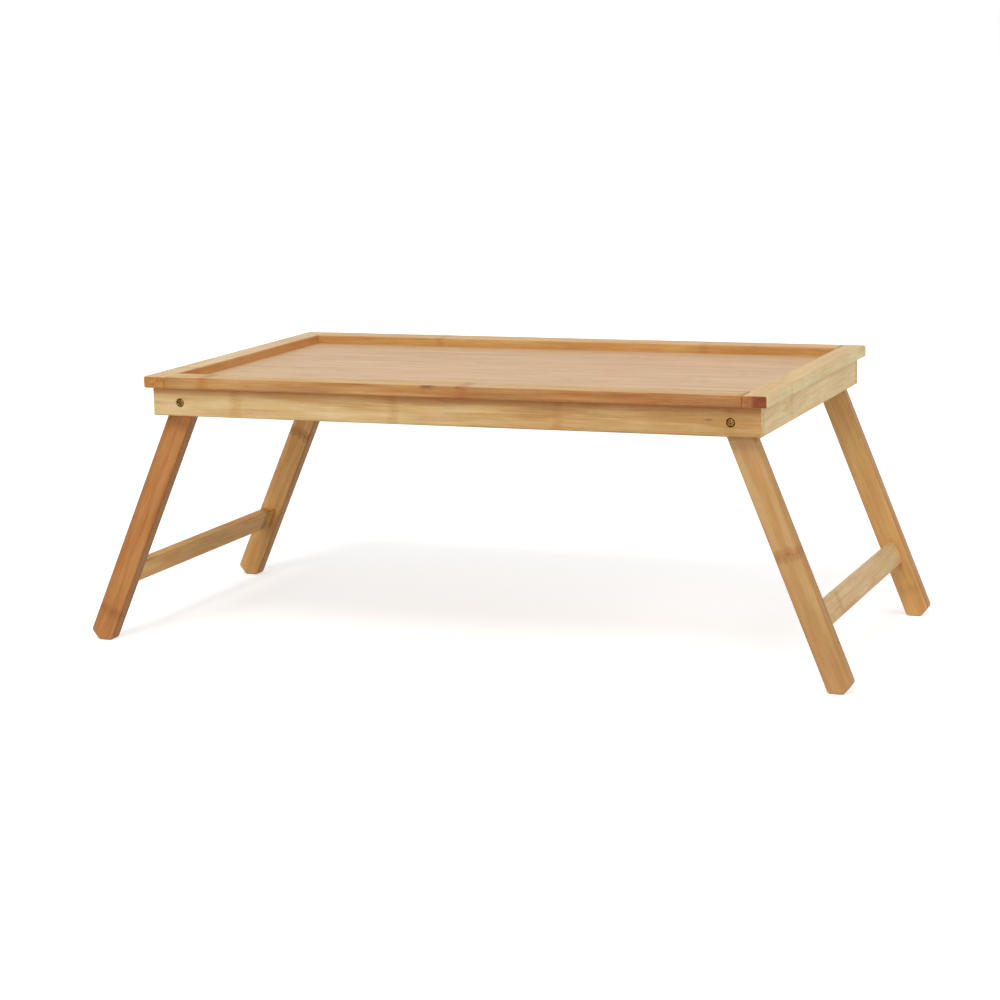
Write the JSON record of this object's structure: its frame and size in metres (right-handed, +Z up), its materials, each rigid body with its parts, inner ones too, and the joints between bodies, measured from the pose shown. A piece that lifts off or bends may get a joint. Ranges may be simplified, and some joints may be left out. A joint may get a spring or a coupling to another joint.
{
  "type": "folding bed tray table",
  "caption": "Low rectangular bamboo bed tray: raised flat rim round a thin panel, box of rails, and splayed leg frames with cross rails that fold flat underneath.",
  "frame": {"origin": "on the floor, in the middle between the outer corners of the feet, 3.7 mm left of the tray's middle", "axes": "+X to the right along the tray's length, +Y to its back, +Z up"},
  "size_m": [0.6245, 0.3, 0.2175],
  "materials": {
    "panel_bamboo": "bamboo ply, clear satin lacquer",
    "rim_bamboo": "laminated bamboo, clear satin lacquer",
    "rail_bamboo": "laminated bamboo, clear satin lacquer",
    "leg_bamboo": "laminated bamboo, clear satin lacquer",
    "stretcher_bamboo": "laminated bamboo, clear satin lacquer",
    "screw_brass": "dark bronzed, satin",
    "washer_steel": "zinc plated",
    "nut_steel": "zinc plated"
  },
  "bodies": {
    "tray": {"tray_panel": "panel_bamboo", "rim_front": "rim_bamboo", "rim_back": "rim_bamboo", "rim_left": "rim_bamboo", "rim_right": "rim_bamboo", "rail_front": "rail_bamboo", "rail_back": "rail_bamboo", "rail_left": "rail_bamboo", "rail_right": "rail_bamboo", "pivot_screw_left_front": "screw_brass", "spacer_washer_left_front": "washer_steel", "nut_washer_left_front": "washer_steel", "lock_nut_left_front": "nut_steel", "pivot_screw_left_back": "screw_brass", "spacer_washer_left_back": "washer_steel", "nut_washer_left_back": "washer_steel", "lock_nut_left_back": "nut_steel", "pivot_screw_right_front": "screw_brass", "spacer_washer_right_front": "washer_steel", "nut_washer_right_front": "washer_steel", "lock_nut_right_front": "nut_steel", "pivot_screw_right_back": "screw_brass", "spacer_washer_right_back": "washer_steel", "nut_washer_right_back": "washer_steel", "lock_nut_right_back": "nut_steel"},
    "left_legs": {"leg_left_front": "leg_bamboo", "leg_left_back": "leg_bamboo", "stretcher_left": "stretcher_bamboo"},
    "right_legs": {"leg_right_front": "leg_bamboo", "leg_right_back": "leg_bamboo", "stretcher_right": "stretcher_bamboo"}
  },
  "joints": [
    {"name": "left_leg_fold", "type": "hinge", "parent": "tray", "child": "left_legs", "pos_m": [-0.218, 0, 0.1969], "axis": [0, -1, 0], "range_deg": [0, 114]},
    {"name": "right_leg_fold", "type": "hinge", "parent": "tray", "child": "right_legs", "pos_m": [0.22594, 0, 0.1969], "axis": [0, 1, 0], "range_deg": [0, 112]}
  ]
}
